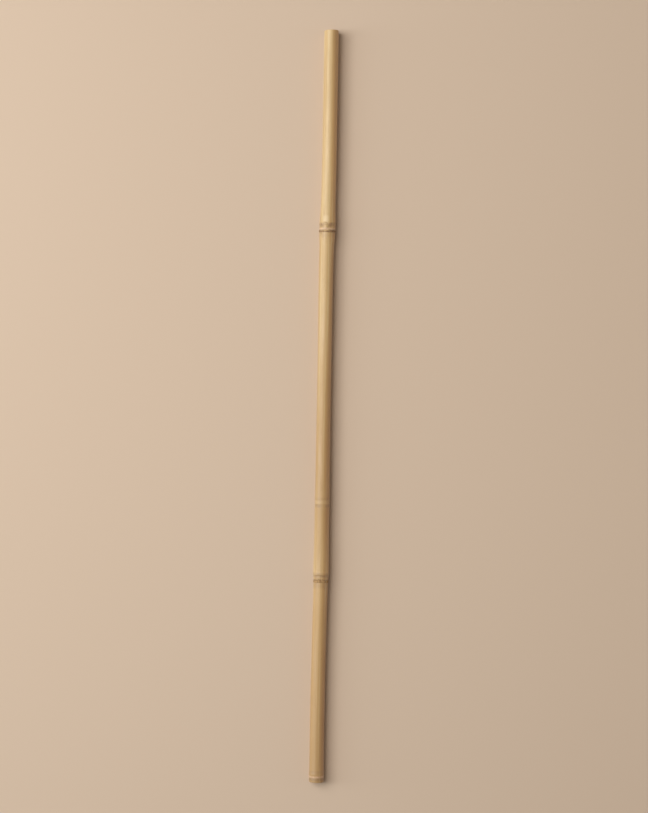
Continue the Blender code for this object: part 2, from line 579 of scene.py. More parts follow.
def bud_crease(place, angle):
    """A fine furrow that runs round the foot of the bud."""
    return -BUD_CREASE * bump(bud_share(place, angle) - CREASE_LEVEL, CREASE_HALF)


print("bud's mark at", round(BUD_PLACE * 1000, 1), "mm,", round(BUD_HALF_LENGTH * 2000, 1), "mm long")

# %% [markdown]
# The wall's radius
#
# The radius of the skin at any place and angle adds everything up: the plain stem, the nodes, the oval,
# the bud, and then the faint things that keep light from sliding over it evenly. Those are long shallow
# waves, creases in the nodes, and fine ribs where the fibres lie just under the skin. The ribs run along
# the culm, so they change fast round it and slowly along it.

# %% Radius of the skin
WAVE = 0.00004
RIB = 0.000014


def smooth_radius(place, angle):
    """The radius without ribs and waves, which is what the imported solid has."""
    radius = between(STEM_RADIUS, place)
    for node in NODES:
        radius = radius + node.swelling(place) + node.rings(place, angle)
    radius = radius * (1.0 + OVAL * np.cos(2.0 * (angle - OVAL_TURN * place)))
    return radius + BUD_HEIGHT * bud_share(place, angle)


def skin_radius(place, angle):
    long_wave = np.sin(43.0 * place + 2.0 * np.cos(angle + 0.7))
    long_wave = long_wave + 0.6 * np.sin(97.0 * place - 1.4 * np.sin(angle))
    drift = 1.5 * np.sin(9.0 * place)
    ribs = np.sin(23.0 * angle + drift) + 0.8 * np.sin(31.0 * angle - 1.7 * drift)
    ribs = ribs + 0.6 * np.sin(43.0 * angle + 5.0 * drift)
    radius = smooth_radius(place, angle) + WAVE * long_wave + RIB * ribs + bud_crease(place, angle)
    for node in NODES:
        radius = radius + node.wrinkles(place, angle)
    return radius


upper_ridge_radius = float(smooth_radius(np.array(UPPER_NODE.ridge()), np.array(0.0)))
print("radius on the upper ridge:", round(upper_ridge_radius * 1000, 2), "mm")

# %% [markdown]
# Where the axis runs
#
# Lying down, the culm touches the floor with three of its ridges. Each is worn flat by a fifth of a
# millimetre, and that sets how high the axis runs there. Between ridges the axis is straight.

# %% The axis
def rest_places():
    places = []
    for node in (BUTT_NODE, LOWER_NODE, UPPER_NODE):
        reach_down = plain_ridge_radius(node)
        places.append((node.ridge(), reach_down - FLAT_DEPTH))
    (low_place, low), (high_place, high) = places[-2:]
    slope = (high - low) / (high_place - low_place)
    places.append((LENGTH, high + slope * (LENGTH - high_place) + TOP_END_LIFT))
    return places


def plain_ridge_radius(node):
    """How far a ridge reaches straight down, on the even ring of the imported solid."""
    place = np.array(node.ridge())
    radius = between(STEM_RADIUS, place) + node.crest
    for other in NODES:
        radius = radius + other.swelling(place)
    return float(radius * (1.0 + OVAL * np.cos(2.0 * (-np.pi / 2.0 - OVAL_TURN * place))))


REST_PLACES = rest_places()


def axis_height(place):
    places, heights = zip(*REST_PLACES)
    return np.interp(place, places, heights)


def sideways_middle():
    """The middle of the cane's box before it is centred on the frame's origin."""
    place = np.linspace(0.0, LENGTH, 1501)
    right = between(AXIS_SIDEWAYS, place) + smooth_radius(place, 0.0)
    left = between(AXIS_SIDEWAYS, place) - smooth_radius(place, np.pi)
    return float((right.max() + left.min()) / 2.0)


SIDEWAYS_MIDDLE = sideways_middle()


def on_the_culm(place, radius, angle):
    """The point in space at a place along the culm, a distance from its axis and an angle round it."""
    x = between(AXIS_SIDEWAYS, place) - SIDEWAYS_MIDDLE + radius * np.cos(angle)
    z = axis_height(place) + radius * np.sin(angle)
    return np.stack([x, place + BUTT_Y, np.maximum(z, 0.0)], axis=-1)


print("axis height at the rests:", [round(height * 1000, 2) for place, height in REST_PLACES], "mm")

# %% [markdown]
# Turning the culm
#
# A turned shape is the quickest start for anything round. The profile needs only a few corners: from the
# axis at the bottom of the pith hollow, up that hollow, over the top cut, down the outside and in again
# at the butt. Each corner is listed with the length of the steps that lead to it, which are fine over a
# node and coarse between nodes.

# %% The profile's corners
SIDES = 144
PITH_FLOOR = 0.5600
PITH_FLOOR_RADIUS = 0.00215
PITH_TOP_RADIUS = 0.00250
PITH_ROUNDING = 0.0007
BUTT_PITH_RADIUS = 0.00190
BUTT_PITH_DEPTH = 0.0034
TOP_RIM = 0.00025
BUTT_RIM = 0.00060
END_RADIUS = 0.0070

FINE = 0.00035
MEDIUM = 0.0010
COARSE = 0.0040
CUT_STEP = 0.0003
TOP_RIM_STEP = 0.0001
BUTT_RIM_STEP = 0.0002
PITH_FLOOR_STEP = 0.0005
ROUNDING_STEP = 0.0004
BAND_MARGIN = 0.0045
NEAR_MARGIN = 0.022


def outside_runs():
    """(end of the run, step in it) from the butt's rim to the top's, over each node in turn."""
    runs = []
    for node in NODES:
        start, end = node.scar - BAND_MARGIN, node.ridge() + BAND_MARGIN
        runs += [(start - NEAR_MARGIN, COARSE), (start, MEDIUM), (end, FINE), (end + NEAR_MARGIN, MEDIUM)]
    runs = [(place, step) for place, step in runs if place > BUTT_RIM + MEDIUM]
    return runs + [(LENGTH - TOP_RIM, COARSE)]


def profile():
    """(radius, place, step to here) for each corner of the profile; nothing leads to the first."""
    corners = [(0.0, PITH_FLOOR, 0.0)]
    corners += [(PITH_FLOOR_RADIUS - PITH_ROUNDING, PITH_FLOOR, PITH_FLOOR_STEP)]
    corners += [(PITH_FLOOR_RADIUS, PITH_FLOOR + PITH_ROUNDING, ROUNDING_STEP)]
    corners += [(PITH_TOP_RADIUS, LENGTH, COARSE)]
    corners += [(END_RADIUS - TOP_RIM, LENGTH, CUT_STEP)]
    corners += [(END_RADIUS, LENGTH - TOP_RIM, TOP_RIM_STEP)]
    corners += [(END_RADIUS, place, step) for place, step in reversed(with_steps_down(outside_runs()))]
    corners += [(END_RADIUS - BUTT_RIM, 0.0, BUTT_RIM_STEP)]
    corners += [(BUTT_PITH_RADIUS, 0.0, CUT_STEP)]
    corners += [(BUTT_PITH_RADIUS, BUTT_PITH_DEPTH - PITH_ROUNDING, ROUNDING_STEP)]
    corners += [(BUTT_PITH_RADIUS - PITH_ROUNDING, BUTT_PITH_DEPTH, ROUNDING_STEP)]
    corners += [(0.0, BUTT_PITH_DEPTH, MEDIUM)]
    return corners


def with_steps_down(runs):
    """The same runs walked from the top down: each corner takes the step of the run above it."""
    places = [BUTT_RIM] + [place for place, step in runs[:-1]]
    steps = [step for place, step in runs]
    return list(zip(places, steps))


print("the profile has", len(profile()), "corners")

# %% [markdown]
# The spin
#
# Each run between two corners is cut into steps with subdivide_edges, and a full spin round the Y axis
# makes the tube. The bends and rings come afterwards, as a move of every corner. The profile's two ends
# lie on the axis, so the spin leaves many corners in one spot there, and remove_doubles merges them.

# %% Spin the culm
MERGE_DISTANCE = 1e-6


def spun_culm():
    """Draw the profile, cut its runs into steps and turn it once round the Y axis."""
    bm = bmesh.new()
    corners = profile()
    verts = [bm.verts.new((radius, place, 0.0)) for radius, place, step in corners]
    edges = [bm.edges.new(pair) for pair in zip(verts, verts[1:])]
    for edge, (radius, place, step) in zip(edges, corners[1:]):
        cuts = round(edge.calc_length() / step) - 1
        if cuts > 0:
            bmesh.ops.subdivide_edges(bm, edges=[edge], cuts=cuts)
    print("profile:", len(bm.verts), "corners after subdividing")
    wire = bm.verts[:] + bm.edges[:]
    bmesh.ops.spin(bm, geom=wire, axis=(0, 1, 0), angle=2.0 * math.pi, steps=SIDES, use_merge=True)
    bmesh.ops.remove_doubles(bm, verts=bm.verts, dist=MERGE_DISTANCE)
    bmesh.ops.recalc_face_normals(bm, faces=bm.faces)
    return bm


culm = spun_culm()
print("turned culm:", len(culm.faces), "faces")

# %% [markdown]
# Which face is what
#
# While the tube is still straight it is easy to tell its surfaces apart: faces that look along the axis
# are the two sawn cuts, faces close to the axis are the pith hollow, and the rest is skin. Each kind has
# its own material slot.

# %% Sort the faces
SKIN, CUT, HOLLOW = 0, 1, 2
ON_THE_CUT = 1e-5
BESIDE_THE_HOLLOW = 1e-4


def sort_faces(bm):
    for face in bm.faces:
        middle = face.calc_center_median()
        radius = math.hypot(middle.x, middle.z)
        at_an_end = middle.y < ON_THE_CUT or middle.y > LENGTH - ON_THE_CUT
        if at_an_end:
            face.material_index = CUT
        elif radius < PITH_TOP_RADIUS + BESIDE_THE_HOLLOW:
            face.material_index = HOLLOW
        else:
            face.material_index = SKIN
        face.smooth = True


sort_faces(culm)
for name, kind in (("skin", SKIN), ("cut", CUT), ("hollow", HOLLOW)):
    print(name, sum(face.material_index == kind for face in culm.faces), "faces")

# %% [markdown]
# Giving it its shape
#
# Now every corner moves once. A corner of the skin goes to the skin's radius at its place and angle. The
# sawn faces get the faint parallel marks of the saw, and their rim loses a few crumbs and one chip. The
# hollow's wall is a little rough, because the soft pith tore away from it. Then everything is laid on
# the bent axis.

# %% Shape the culm
SAW_MARK = 0.00003
SAW_PITCH = 0.0007
SAW_SLANT = 0.3
CRUMB = 0.00012
CRUMB_SCALE = 700.0
CHIP = 0.00050
CHIP_ANGLE = math.radians(158.0)
CHIP_HALF = math.radians(38.0)
CHIP_FROM = 0.78
TEAR = 0.00010


def ragged(points, scale):
    """Smooth noise from -1 to 1 at each point, the same on every run."""
    return np.array([noise.noise(point * scale) for point in points])


def shape_culm(bm):
    """Move every corner to its real spot, and give back where it was on the straight tube."""
    straight = np.array([vert.co[:] for vert in bm.verts])
    place = straight[:, 1]
    angle = np.arctan2(straight[:, 2], straight[:, 0])
    radius = np.hypot(straight[:, 0], straight[:, 2])
    uneven = ragged([vert.co.copy() for vert in bm.verts], CRUMB_SCALE)

    outside = radius > END_RADIUS - BUTT_RIM - ON_THE_CUT
    on_cut = (place < MERGE_DISTANCE) | (place > LENGTH - MERGE_DISTANCE)
    hollow = ~outside & ~on_cut

    wall = skin_radius(np.clip(place, BUTT_RIM, LENGTH - TOP_RIM), angle)
    shaped = np.where(outside, wall + (radius - END_RADIUS), radius)
    on_face = on_cut & (radius > PITH_TOP_RADIUS)
    shaped = np.where(on_face, radius * wall / END_RADIUS, shaped)
    shaped = np.where(hollow & (radius > ON_THE_CUT), radius + TEAR * uneven, shaped)

    across_the_saw = straight[:, 0] + SAW_SLANT * straight[:, 2]
    saw = SAW_MARK * np.sin(2.0 * np.pi * across_the_saw / SAW_PITCH)
    inward = np.where(place > LENGTH / 2.0, -1.0, 1.0)
    moved_place = place + np.where(on_cut, inward * (SAW_MARK + saw), 0.0)
    moved_place = moved_place + np.where(on_cut & outside, inward * CRUMB * np.abs(uneven), 0.0)
    to_the_rim = smooth_step((radius / END_RADIUS - CHIP_FROM) / (1.0 - CHIP_FROM))
    chip = CHIP * bump(angle - CHIP_ANGLE, CHIP_HALF) * to_the_rim
    moved_place = moved_place - np.where(place > LENGTH - TOP_RIM - MERGE_DISTANCE, chip, 0.0)

    final = on_the_culm(np.clip(moved_place, 0.0, LENGTH), shaped, angle)
    for vert, spot in zip(bm.verts, final):
        vert.co = spot
    return place, angle, radius


culm_place, culm_angle, culm_radius = shape_culm(culm)
print("shaped", len(culm.verts), "corners")

# %% [markdown]
# Numbers for the materials
#
# The stains and lines of a node have to follow its uneven scar, so each corner carries how far it is
# above the nearest scar and how far round from that node's bud, in millimetres, and how strongly that
# node is marked. Away from the nodes the marks fade to nothing. A mesh keeps such numbers as attributes,
# which a material can read.

# %% Measure every corner
NODE_REACH = 0.030
MARKS = ("line", "stain", "blush", "crown", "pale")


def node_numbers(place, angle):
    """What each corner knows about the node nearest to it, by name."""
    distance = np.stack([np.abs(place - node.scar - node.band / 2.0) for node in NODES])
    nearest = distance.argmin(axis=0)
    close = distance.min(axis=0) < NODE_REACH
    above = np.stack([place - node.scar - node.scar_shift(angle) for node in NODES])
    beside = np.stack([node.beside_bud(angle) for node in NODES]) * upper_ridge_radius
    numbers = {
        "above_scar": np.take_along_axis(above, nearest[None], axis=0)[0] * 1000.0,
        "beside_bud": np.take_along_axis(beside, nearest[None], axis=0)[0] * 1000.0,
    }
    for mark in MARKS:
        strength = np.array([getattr(node, mark) for node in NODES])
        numbers["node_" + mark] = strength[nearest] * close
    return numbers


culm_numbers = node_numbers(culm_place, culm_angle)
print("each corner carries", len(culm_numbers), "numbers:", ", ".join(culm_numbers))

# %% [markdown]
# From a bmesh to an object
#
# A bmesh is only a workbench. The finished shape is written to a mesh, the mesh gets its materials, and
# an object puts it in the scene. All three pieces of the cane go this way.

# %% Make an object
def carry(mesh, name, values):
    layer = mesh.attributes.new(name, "FLOAT", "POINT")
    layer.data.foreach_set("value", np.ascontiguousarray(values, dtype=np.float32))


def finished_object(bm, name, materials):
    mesh = bpy.data.meshes.new(name)
    bm.to_mesh(mesh)
    bm.free()
    for material in materials:
        mesh.materials.append(material)
    made = bpy.data.objects.new(name, mesh)
    bpy.context.scene.collection.objects.link(made)
    return made


print("helpers: carry, finished_object")

# %% [markdown]
# The skin's tones
#
# Dried bamboo skin is straw yellow at the top of this cane and golden brown towards the butt, and each
# stretch between nodes has a tone of its own. A colour ramp along the cane gives them, with a stop a few
# millimetres either side of each node. A tint multiplied in on the right flank, the side away from the
# key light, darkens and browns it: that is painted shade.

# %% Tones along the culm
STRAW = colour(0.600, 0.412, 0.180)
HONEY = colour(0.562, 0.372, 0.153)
TAN = colour(0.455, 0.274, 0.097)
AMBER = colour(0.520, 0.325, 0.120)
GOLDEN_BROWN = colour(0.470, 0.282, 0.100)
BUTT_BROWN = colour(0.430, 0.254, 0.090)
# Painted shade: this tint darkens and browns the right flank, the side away from the key light.
SHADED_FLANK_TINT = colour(0.89, 0.73, 0.54)
SHADED_FLANK_FROM = 0.0055
TONE_STOPS = (
    (0.0, BUTT_BROWN),
    (0.090, GOLDEN_BROWN),
    (LOWER_NODE.scar - 0.004, AMBER),
    (LOWER_NODE.scar + 0.004, HONEY),
    (SANDED_NODE.scar - 0.004, TAN),
    (SANDED_NODE.ridge() + 0.060, TAN),
    (UPPER_NODE.scar - 0.060, HONEY),
    (UPPER_NODE.scar - 0.004, HONEY),
    (UPPER_NODE.ridge() + 0.006, STRAW),
    (LENGTH, STRAW),
)


def tone_along(tree):
    """The ramp of tones, with painted shade multiplied in on the right flank."""
    where = tree.nodes.new("ShaderNodeTexCoord")
    parts = tree.nodes.new("ShaderNodeSeparateXYZ")
    tree.links.new(where.outputs["Object"], parts.inputs[0])
    share = sums(tree, "DIVIDE", sums(tree, "SUBTRACT", parts.outputs["Y"], BUTT_Y), LENGTH)
    ramp = tree.nodes.new("ShaderNodeValToRGB")
    tree.links.new(share, ramp.inputs["Fac"])
    elements = ramp.color_ramp.elements
    elements[0].color = TONE_STOPS[0][1]
    elements[1].color = TONE_STOPS[-1][1]
    for place, tone in TONE_STOPS[1:-1]:
        elements.new(place / LENGTH).color = tone
    # Painted shade on the right flank.
    shaded_flank = span(tree, parts.outputs["X"], 0.0, SHADED_FLANK_FROM)
    return blend(tree, shaded_flank, ramp.outputs["Color"], SHADED_FLANK_TINT, "MULTIPLY")


print("tones:", len(TONE_STOPS), "stops along the culm")

# %% [markdown]
# Streaks and flecks
#
# Over the tones lie lengthwise streaks of three widths: broad ones, dark and pale, two or three
# millimetres wide, then fine ones, then single fibres. Each is a stretched noise of its own, of which
# only the peaks show, or the troughs for the pale ones. A few brown flecks are where the skin was
# rubbed. They come in loose groups, because a second, wide noise says where they may lie.

# %% Streaks and flecks
BROAD_STREAKS = (420.0, 4.0)
FINE_STREAKS = (1500.0, 22.0)
FIBRES = (4200.0, 70.0)
FADED_PATCHES = (90.0, 16.0)
FLECKS = (1900.0, 420.0)
FLECK_GROUPS = (70.0, 14.0)
FLECK_STRENGTH = 0.6
FIBRE_SHARE = 0.5

STREAK_BROWN = colour(0.43, 0.25, 0.085)
STREAK_PALE = colour(0.67, 0.53, 0.27)
FINE_BROWN = colour(0.40, 0.24, 0.09)
FIBRE_BROWN = colour(0.36, 0.21, 0.08)
FADED = colour(0.50, 0.36, 0.15)
FLECK_BROWN = colour(0.25, 0.14, 0.055)


def streaked(tree, tone):
    """Lay the lengthwise streaks over a tone, and give back the finer ones for relief."""
    broad = cloud(tree, stretched(tree, *BROAD_STREAKS), detail=2.0)
    fine = cloud(tree, stretched(tree, *FINE_STREAKS), detail=3.0, roughness=0.6)
    fibre = cloud(tree, stretched(tree, *FIBRES), detail=2.0)
    patches = cloud(tree, stretched(tree, *FADED_PATCHES), detail=2.0)
    layers = (
        (broad, 0.50, 0.70, 0.54, STREAK_BROWN),
        (broad, 0.48, 0.31, 0.46, STREAK_PALE),
        (fine, 0.52, 0.75, 0.34, FINE_BROWN),
        (fibre, 0.50, 0.72, 0.34, FIBRE_BROWN),
        (patches, 0.55, 0.75, 0.22, FADED),
    )
    for pattern, start, full, strength, streak_colour in layers:
        share = span(tree, pattern, start, full, 0.0, strength)
        tone = blend(tree, share, tone, streak_colour)
    return tone, sums(tree, "ADD", fine, sums(tree, "MULTIPLY", fibre, FIBRE_SHARE))


def flecked(tree, tone):
    """A few small brown flecks, longer than they are wide, where the skin was rubbed."""
    specks = cloud(tree, stretched(tree, *FLECKS), detail=1.0)
    where = cloud(tree, stretched(tree, *FLECK_GROUPS), detail=1.0)
    share = sums(tree, "MULTIPLY", span(tree, specks, 0.70, 0.78), span(tree, where, 0.45, 0.65))
    return blend(tree, sums(tree, "MULTIPLY", share, FLECK_STRENGTH), tone, FLECK_BROWN)


print("broad streaks are about", round(1000 / BROAD_STREAKS[0], 1), "mm wide")

# %% [markdown]
# Marks of the nodes
#
# A node is marked by its past. Dirt and mould sat under the sheath and left brown blotches below the
# ridge, and the skin that the sheath covered longest is still pinkish. The dark lines in the scar and at
# the foot of the ridge are partly dirt and partly painted shade of the grooves there, and a darker band
# just under the scar is painted shade below its lip. Above a bud the skin grew with a pale V. Each mark
# is a stripe at its own height above the scar, so it bends with the scar. A stripe is given as its
# middle, the half of its width and its soft edge, in millimetres.
# How strongly it shows is the product of the node's own strength and of a noise that breaks it up. The
# bud's outline is a stripe too, but its numbers are shares of the bud's height.

# %% Where the marks lie
CROWN_BAND = (0.0, 5.0, 4.0)
# Painted shade: a darker band under the scar's lip.
SHADE_BELOW_SCAR = (-2.0, 2.0, 2.5)
FAINT_BELOW = (-5.0, 2.0, 5.0)
SCAR_BAND = (0.3, 0.7, 1.7)
PINK_RING = (2.4, 0.6, 0.9)
PALE_RING = (4.2, 1.0, 1.8)
CROWN_LINE = (5.1, 0.5, 1.1)
STAINED_BAND = (5.8, 1.8, 2.2)
SPOT_HEIGHT = (6.2, 1.2, 2.0)
# Partly stain, partly painted shade at the foot of the ridge.
RIDGE_STAIN_AND_SHADE_LINE = (7.2, 0.8, 1.4)
ABOVE_BUD = (12.0, 1.5, 4.0)

OVER_BUD = (0.0, 2.4, 2.0)
SPOT_SIDE = (4.8, 1.0, 2.0)
BUD_OUTLINE = (0.17, 0.05, 0.10)
V_FOOT = 4.0
V_SLOPE = 0.8

# This brown serves for real stains and for painted shade alike.
STAIN_AND_SHADE_BROWN = colour(0.235, 0.120, 0.045)
# The scar's dark line: partly dirt, partly painted shade in the scar's groove.
SCAR_DIRT_AND_SHADE = colour(0.110, 0.052, 0.022)
BLUSH = colour(0.690, 0.455, 0.290)
PALE_SKIN = colour(0.760, 0.590, 0.340)

print("dark spots", SPOT_SIDE[0], "mm either side of the bud,", SPOT_HEIGHT[0], "mm above the scar")

# %% [markdown]
# Laying the marks on
#
# The marks go on one after another, and a later one lies over an earlier one. The stained band below
# the ridge is the only one with a shape of its own: uneven blotches all round, two darker soft spots
# beside the bud, and nothing of either inside the V. Single dark fibres run through it, so it looks like
# a stain in wood and not like paint.

# %% The stained band
SPOT_STRENGTH = 0.70
V_EDGE = (-0.4, 2.0)
PATCHY = (0.40, 0.66, 0.16, 0.42)
DARKER_FIBRES = (0.60, 0.90, 0.65, 1.25)


def stained_share(tree, above, beside, blotch, fibres):
    """How brown the band below the ridge is: spots beside the bud, blotches all round."""
    spots = sums(tree, "MULTIPLY", stripe(tree, above, *SPOT_HEIGHT), stripe(tree, beside, *SPOT_SIDE))
    spots = sums(tree, "MULTIPLY", spots, SPOT_STRENGTH)
    patchy = span(tree, blotch, *PATCHY)
    half_width = sums(tree, "MULTIPLY", sums(tree, "SUBTRACT", above, V_FOOT), V_SLOPE)
    outside_the_v = span(tree, sums(tree, "SUBTRACT", beside, half_width), *V_EDGE)
    share = sums(tree, "MULTIPLY", sums(tree, "MAXIMUM", spots, patchy), outside_the_v)
    return sums(tree, "MULTIPLY", share, span(tree, fibres, *DARKER_FIBRES))


print("the V opens", round(2.0 * V_SLOPE, 1), "mm for each millimetre up")

# %% [markdown]
# Rings and lines
#
# The other marks are plain stripes: darker bands, among them the painted shade under the scar's lip,
# and rings first, then the thin lines, and the dark line in the scar last. A second noise wears them
# away in places, and under the bud, where the young skin was best sheltered, hardly any of the scar's
# line is left.

# %% Lay the marks on
BLOTCHES = (300.0, 170.0)
BREAKS = (520.0, 300.0)
V_STRENGTH = 0.40
SHADE_STRENGTH = 0.16
CROWN_STRENGTH = 0.18
RIDGE_STRENGTH = 0.35
FAINT_PATCHES = (0.50, 0.70, 0.0, 0.30)
WORN_CROWN = (0.3, 0.6, 0.55, 0.30)
WORN_PINK = (0.35, 0.60, 0.85, 0.45)
WORN_OUTLINE = (0.35, 0.65, 0.34, 0.14)
WORN_SCAR = (0.30, 0.62, 1.0, 0.60)
UNDER_BUD = (1.0, 4.5, 0.20, 1.0)


def node_marked(tree, tone, fibres):
    """Lay every mark of the nodes over a tone, the scar's dark line last."""
    above = measured(tree, "above_scar")
    beside = measured(tree, "beside_bud")
    blotch = cloud(tree, stretched(tree, *BLOTCHES), detail=3.0, roughness=0.6)
    broken = cloud(tree, stretched(tree, *BREAKS), detail=2.0)

    def mark(tone, where, kind, strength, stain):
        share = sums(tree, "MULTIPLY", stripe(tree, above, *where), measured(tree, "node_" + kind))
        return blend(tree, sums(tree, "MULTIPLY", share, strength), tone, stain)

    over_bud = sums(tree, "MULTIPLY", stripe(tree, beside, *OVER_BUD), V_STRENGTH)
    tone = mark(tone, ABOVE_BUD, "stain", over_bud, PALE_SKIN)
    stained = stained_share(tree, above, beside, blotch, fibres)
    tone = mark(tone, STAINED_BAND, "stain", stained, STAIN_AND_SHADE_BROWN)
    tone = mark(tone, FAINT_BELOW, "stain", span(tree, blotch, *FAINT_PATCHES), STAIN_AND_SHADE_BROWN)
    # Painted shade under the scar's lip.
    tone = mark(tone, SHADE_BELOW_SCAR, "stain", SHADE_STRENGTH, STAIN_AND_SHADE_BROWN)
    tone = mark(tone, PALE_RING, "pale", 1.0, PALE_SKIN)
    tone = mark(tone, CROWN_BAND, "crown", CROWN_STRENGTH, STAIN_AND_SHADE_BROWN)
    tone = mark(tone, CROWN_LINE, "crown", span(tree, broken, *WORN_CROWN), STAIN_AND_SHADE_BROWN)
    tone = mark(tone, PINK_RING, "blush", span(tree, broken, *WORN_PINK), BLUSH)
    # A dark line at the foot of the ridge: partly stain, partly painted shade.
    tone = mark(tone, RIDGE_STAIN_AND_SHADE_LINE, "line", RIDGE_STRENGTH, STAIN_AND_SHADE_BROWN)
    outline = stripe(tree, measured(tree, "bud"), *BUD_OUTLINE)
    outline = sums(tree, "MULTIPLY", outline, span(tree, broken, *WORN_OUTLINE))
    tone = blend(tree, outline, tone, STAIN_AND_SHADE_BROWN)
    # The scar's dark line, partly dirt and partly painted shade in its groove, worn away in places.
    worn = sums(tree, "MULTIPLY", span(tree, broken, *WORN_SCAR), span(tree, beside, *UNDER_BUD))
    return mark(tone, SCAR_BAND, "line", worn, SCAR_DIRT_AND_SHADE)


print("helpers: stained_share, node_marked")

# %% [markdown]
# The skin's surface
#
# The surface is satin. A thin wax on it gives a broad soft reflection, which is the shader's specular
# part with a middling roughness, and whitens the flanks that are seen at a slant, which is its sheen.
# The finer streaks lift it by up to a tenth of a millimetre.

# %% The skin
WAX_TINT = colour(1.0, 0.98, 0.96)
WAX_SHEEN = 0.28
WAX_SOFTNESS = 0.6
SKIN_GLOSS = 0.85
GLOSS_PATCHES = (240.0, 30.0)
SKIN_ROUGHNESS = (0.3, 0.7, 0.47, 0.60)
SKIN_RELIEF = 0.00010
SKIN_RELIEF_STRENGTH = 0.7


def skin_material():
    material, tree, shader = new_material("bamboo_skin")
    tone, fibres = streaked(tree, tone_along(tree))
    tone = node_marked(tree, flecked(tree, tone), fibres)
    tree.links.new(tone, shader.inputs["Base Color"])
    gloss = cloud(tree, stretched(tree, *GLOSS_PATCHES), detail=2.0)
    tree.links.new(span(tree, gloss, *SKIN_ROUGHNESS), shader.inputs["Roughness"])
    shader.inputs["Specular IOR Level"].default_value = SKIN_GLOSS
    shader.inputs["Sheen Weight"].default_value = WAX_SHEEN
    shader.inputs["Sheen Roughness"].default_value = WAX_SOFTNESS
    shader.inputs["Sheen Tint"].default_value = WAX_TINT
    relief(tree, shader, fibres, SKIN_RELIEF, SKIN_RELIEF_STRENGTH)
    return material


skin = skin_material()
print(skin.name, "has", len(skin.node_tree.nodes), "nodes")

# %% [markdown]
# The sawn ends
#
# A cut across bamboo shows pale wood full of dark dots: the bundles of fibre that run up the stem. They
# are small and crowded under the skin, and larger and sparse towards the hollow. A Voronoi texture has
# just such scattered cells, and the distance to the middle of a cell makes a round dot of it. It has to
# be a flat one, laid across the cane, so that the dots don't change along it.

# %% Dots of the fibre bundles
SMALL_BUNDLES = (2900.0, 0.30)
LARGE_BUNDLES = (1350.0, 0.23)
DOT_EDGE = (0.10, -0.06)
SCATTER = 0.8
CROWDED = (0.70, 0.74)


def face_of_the_cut(tree):
    """Flat coordinates on a cut, across and up, without the place along the cane."""
    where = tree.nodes.new("ShaderNodeTexCoord")
    parts = tree.nodes.new("ShaderNodeSeparateXYZ")
    flat = tree.nodes.new("ShaderNodeCombineXYZ")
    tree.links.new(where.outputs["Object"], parts.inputs[0])
    tree.links.new(parts.outputs["X"], flat.inputs["X"])
    tree.links.new(parts.outputs["Z"], flat.inputs["Y"])
    return flat.outputs[0]


def bundles(tree, flat, per_metre, size):
    """1 in each of many scattered round dots, with a soft edge; size is a share of a cell."""
    dots = tree.nodes.new("ShaderNodeTexVoronoi")
    dots.voronoi_dimensions = "2D"
    dots.inputs["Scale"].default_value = per_metre
    dots.inputs["Randomness"].default_value = SCATTER
    tree.links.new(flat, dots.inputs["Vector"])
    return span(tree, dots.outputs["Distance"], *(size + margin for margin in DOT_EDGE))


def fibre_dots(tree, outward):
    """Small dots where the wood is crowded, and large ones nearer the hollow."""
    flat = face_of_the_cut(tree)
    crowded = span(tree, outward, *CROWDED)
    small = sums(tree, "MULTIPLY", bundles(tree, flat, *SMALL_BUNDLES), crowded)
    open_wood = sums(tree, "SUBTRACT", 1.0, crowded)
    large = sums(tree, "MULTIPLY", bundles(tree, flat, *LARGE_BUNDLES), open_wood)
    return sums(tree, "MAXIMUM", small, large)


print("small dots are about", round(1000 / SMALL_BUNDLES[0], 2), "mm apart")

# %% [markdown]
# The wood round the dots
#
# The wood is palest round the hollow and browner towards the skin, which shows as a thin dark rim. How
# far out a point lies, from 0 on the axis to 1 at the skin, is one more number that the mesh carries.
# The saw left the wood matt and slightly rough.

# %% The cut wood
INNER_TO_OUTER = (0.35, 0.95)
RIND = (0.93, 0.98)
SAWN_GRAIN = 1600.0
SAWN_PATCHES = (0.45, 0.75, 0.0, 0.35)
DOT_STRENGTH = 0.66
CUT_ROUGHNESS = 0.72
CUT_RELIEF = 0.00005
CUT_RELIEF_STRENGTH = 0.7

INNER_WOOD = colour(0.62, 0.48, 0.29)
OUTER_WOOD = colour(0.50, 0.35, 0.18)
SAWN_SHADE = colour(0.42, 0.29, 0.15)
DOT_BROWN = colour(0.20, 0.115, 0.050)
RIND_BROWN = colour(0.30, 0.18, 0.075)


def cut_material():
    material, tree, shader = new_material("bamboo_end_grain")
    outward = measured(tree, "outward")
    dots = fibre_dots(tree, outward)
    sawn = cloud(tree, stretched(tree, SAWN_GRAIN, SAWN_GRAIN), detail=3.0)
    wood = blend(tree, span(tree, outward, *INNER_TO_OUTER), INNER_WOOD, OUTER_WOOD)
    wood = blend(tree, span(tree, sawn, *SAWN_PATCHES), wood, SAWN_SHADE)
    wood = blend(tree, sums(tree, "MULTIPLY", dots, DOT_STRENGTH), wood, DOT_BROWN)
    wood = blend(tree, span(tree, outward, *RIND), wood, RIND_BROWN)
    tree.links.new(wood, shader.inputs["Base Color"])
    shader.inputs["Roughness"].default_value = CUT_ROUGHNESS
    relief(tree, shader, sums(tree, "SUBTRACT", sawn, dots), CUT_RELIEF, CUT_RELIEF_STRENGTH)
    return material


cut_wood = cut_material()
print(cut_wood.name, "has", len(cut_wood.node_tree.nodes), "nodes")

# %% [markdown]
# Inside the hollow
#
# The hollow's wall is raw wood where the soft pith tore away, with its fibres running lengthwise. It is
# as matt as paper, because no wax ever covered it.

